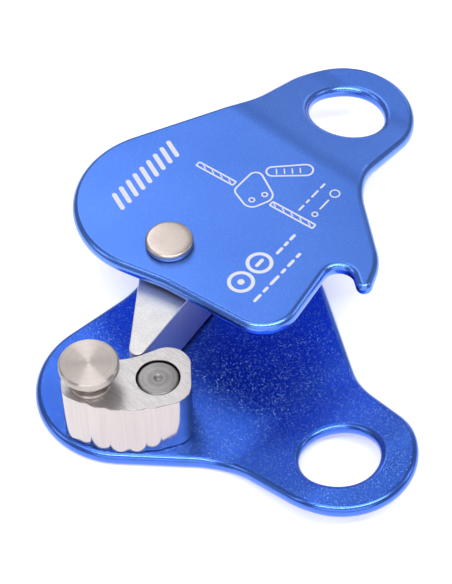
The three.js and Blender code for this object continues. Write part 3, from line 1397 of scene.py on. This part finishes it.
@dataclass
class BlockSteel:
    """The pin and the catch stud that hold the block."""

    tail: float = 2.8
    tail_head: float = 4.2
    foot_depth: float = 1.5
    block_foot: float = 3.65

    def build(self) -> None:
        """Make the pin and the stud."""
        self._pin()
        self._stud()

    def _foot(self) -> list[Point]:
        """Profile of the flush lower head that both share, up to the block's foot."""
        return [
            (0.45, 0.3),
            (0.8, 0.06),
            (1.0, 0.0),
            (self.tail_head - 0.15, 0.0),
            (self.tail_head, 0.15),
            (self.tail_head, self.foot_depth),
            (self.tail, self.foot_depth),
            (self.tail, self.block_foot),
        ]

    def _pin(self) -> None:
        """Turn the pin, with its chamfer, facing rings and centre mark."""
        radius, top = 4.6, 18.5
        profile = [
            *self._foot(),
            (radius, self.block_foot),
            (radius, top - 0.42),
            (radius - 0.2, top - 0.14),
            (radius - 0.45, top),
            (1.0, top),
            (0.86, top - 0.1),
            (0.66, top - 0.12),
            (0.54, top - 0.02),
            (0.42, top - 0.02),
            (0.3, top - 0.22),
            (0.08, top - 0.26),
        ]
        bench = Lathe("block_dowel", PIN).turn(profile)
        bright, dark = (0.33, 0.32, 0.32), (0.12, 0.115, 0.115)
        bench.dress(TurnedMetal("dowel_steel", bright, dark, 0.32, PIN, 0.4, 0.012))
        bench.fix(Body.FRAME, Slot.DARK_STEEL, "block_pin")

    def _stud(self) -> None:
        """Turn the stud, with its collar, neck and bevelled mushroom head."""
        neck, collar, head = 3.1, 4.65, 6.6
        collar_low, collar_high, head_low, head_high = 18.725, 19.575, 23.6, 25.8
        profile = [
            *self._foot(),
            (neck, self.block_foot),
            (neck, collar_low),
            (collar - 0.1, collar_low),
            (collar, collar_low + 0.1),
            (collar, collar_high - 0.12),
            (collar - 0.12, collar_high),
            (neck + 0.25, collar_high),
            (neck, collar_high + 0.25),
            (neck, head_low - 0.2),
            (neck + 0.2, head_low),
            (head - 0.5, head_low),
            (head - 0.1, head_low + 0.35),
            (head, head_low + 0.6),
            (head, head_high - 0.45),
            (head - 0.12, head_high - 0.22),
            (head - 0.42, head_high),
            (0.2, head_high),
            (0.05, head_high - 0.02),
        ]
        bench = Lathe("catch_button", STUD, 128).turn(profile)
        bright, dark = (0.51, 0.462, 0.438), (0.41, 0.366, 0.344)
        bench.dress(TurnedMetal("button_steel", bright, dark, 0.33, STUD, 0.28, 0.002, 0.98))
        bench.fix(Body.FRAME, Slot.TURNED_STAINLESS, "catch_stud")


# ---------------------------------------------------------------- studio


@dataclass(frozen=True)
class SoftLight:
    """A rectangular soft light that faces the object, in metres and watts."""

    name: str
    place: tuple[float, float, float]
    width: float
    depth: float
    power: float

    def hang(self) -> None:
        """Hang the light at its place."""
        data = bpy.data.lights.new(self.name, "AREA")
        data.shape = "RECTANGLE"
        data.size, data.size_y = self.width, self.depth
        data.energy = self.power
        lamp = bpy.data.objects.new(self.name, data)
        bpy.context.scene.collection.objects.link(lamp)
        lamp.location = self.place
        lamp.rotation_euler = (-Vector(self.place)).to_track_quat("-Z", "Y").to_euler()


@dataclass
class Studio:
    """Camera, floor and soft lights."""

    eye: tuple[float, float, float] = (0.012135, -0.395178, 0.476951)
    right: tuple[float, float, float] = (0.999123, -0.032079, -0.026917)
    up: tuple[float, float, float] = (0.041876, 0.765372, 0.642224)
    forward: tuple[float, float, float] = (0.0, 0.642788, -0.766044)
    lens: float = 166.4
    floor_size: float = 6.0
    floor_gap: float = 0.02
    floor_glow: float = 0.4
    room_light: float = 0.38
    lights: tuple[SoftLight, ...] = (
        SoftLight("back_box", (-0.2, 0.8, 1.1), 0.4, 0.9, 2.6),
        SoftLight("top_strip", (0.0, -0.15, 1.2), 1.5, 0.26, 3.5),
        SoftLight("rim_strip", (0.1, -0.5, 1.05), 1.4, 0.1, 8.0),
        SoftLight("rear_box", (0.45, 1.0, 0.5), 0.4, 0.4, 0.5),
        SoftLight("left_box", (-1.1, -0.1, 0.8), 0.4, 0.6, 1.2),
        SoftLight("front_box", (0.0, -1.1, 0.5), 1.6, 0.6, 4.0),
        SoftLight("right_box", (1.1, 0.1, 0.6), 0.3, 0.5, 0.8),
    )

    def build(self) -> None:
        """Set the whole studio up."""
        self._camera()
        self._floor()
        self._world()
        for light in self.lights:
            light.hang()

    def _camera(self) -> None:
        """Place the camera."""
        data = bpy.data.cameras.new("camera")
        data.lens = self.lens
        data.clip_start, data.clip_end = 0.01, 20.0
        camera = bpy.data.objects.new("camera", data)
        bpy.context.scene.collection.objects.link(camera)
        axes = Matrix((self.right, self.up, [-part for part in self.forward])).transposed()
        camera.matrix_world = Matrix.Translation(self.eye) @ axes.to_4x4()
        bpy.context.scene.camera = camera

    def _floor(self) -> None:
        """Lay a pale floor just under the object."""
        Bench.clear()
        below = (0, 0, -self.floor_gap * MM)
        bpy.ops.mesh.primitive_plane_add(size=self.floor_size, location=below)
        floor = bpy.context.object
        floor.name = "pale_floor"
        paper = PaleSweep("pale_paper", (0.9, 0.9, 0.9), self.floor_glow)
        floor.data.materials.append(paper.material())

    def _world(self) -> None:
        """Fill the surroundings with even white light."""
        world = bpy.data.worlds.new("soft_room")
        world.use_nodes = True
        background = world.node_tree.nodes["Background"]
        background.inputs["Color"].default_value = (1, 1, 1, 1)
        background.inputs["Strength"].default_value = self.room_light
        bpy.context.scene.world = world
        bpy.context.scene.view_settings.view_transform = "Standard"


def main() -> None:
    """Build every sub-assembly and the studio."""
    logging.basicConfig(level=logging.INFO, format="%(name)s: %(message)s")
    for part in (CheekPlates(), EtchedMarks(), RivetStack(), GripParts(), BlockSteel(), Studio()):
        part.build()
        LOG.info("%s done", type(part).__name__)
    Bench.clear()


if __name__ == "__main__":
    main()
